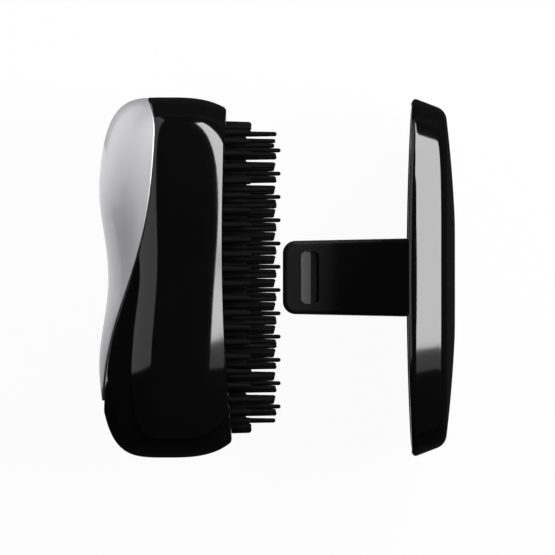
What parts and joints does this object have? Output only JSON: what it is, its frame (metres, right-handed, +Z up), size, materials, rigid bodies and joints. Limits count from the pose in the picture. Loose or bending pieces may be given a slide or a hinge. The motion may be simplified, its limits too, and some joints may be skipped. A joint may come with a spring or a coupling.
{
  "type": "hair brush",
  "caption": "Palm-held detangling hair brush with moulded teeth of two heights, a silver back cover over a black shell, and a pull-off cap whose tongue plugs into a sprung socket.",
  "frame": {"origin": "on the ground under the middle of the whole as it lies on its side with the cap pulled off, as pictured", "axes": "+X from the silver back along the teeth towards the cap, +Y along the brush towards its top end, +Z up across the width"},
  "size_m": [0.0888, 0.09, 0.068],
  "materials": {
    "gloss_black": "polished moulded plastic",
    "silver": "metallised silver lacquer on plastic",
    "tooth_black": "satin flexible plastic",
    "satin_black": "satin moulded plastic",
    "acetal": "natural springy plastic"
  },
  "bodies": {
    "brush": {"main_housing": "gloss_black", "back_cover": "silver", "near_bristle_pad": "tooth_black", "far_bristle_pad": "tooth_black", "pad_carrier": "satin_black", "tongue_socket": "satin_black"},
    "cap": {"cap_shell": "gloss_black", "cap_tongue": "satin_black"},
    "near_catch": {"near_catch_arm": "acetal"},
    "far_catch": {"far_catch_arm": "acetal"}
  },
  "joints": [
    {"name": "cap_pull", "type": "slide", "parent": "brush", "child": "cap", "axis": [1, 0, 0], "range_m": [-0.0393, 0.012]},
    {"name": "near_catch_bend", "type": "hinge", "parent": "brush", "child": "near_catch", "pos_m": [-0.02396, 0, 0.03705], "axis": [0, 1, 0], "range_deg": [0, 8], "stiffness_Nm_per_rad": 0.005},
    {"name": "far_catch_bend", "type": "hinge", "parent": "brush", "child": "far_catch", "pos_m": [-0.02396, 0, 0.03095], "axis": [0, -1, 0], "range_deg": [0, 8], "stiffness_Nm_per_rad": 0.005}
  ]
}
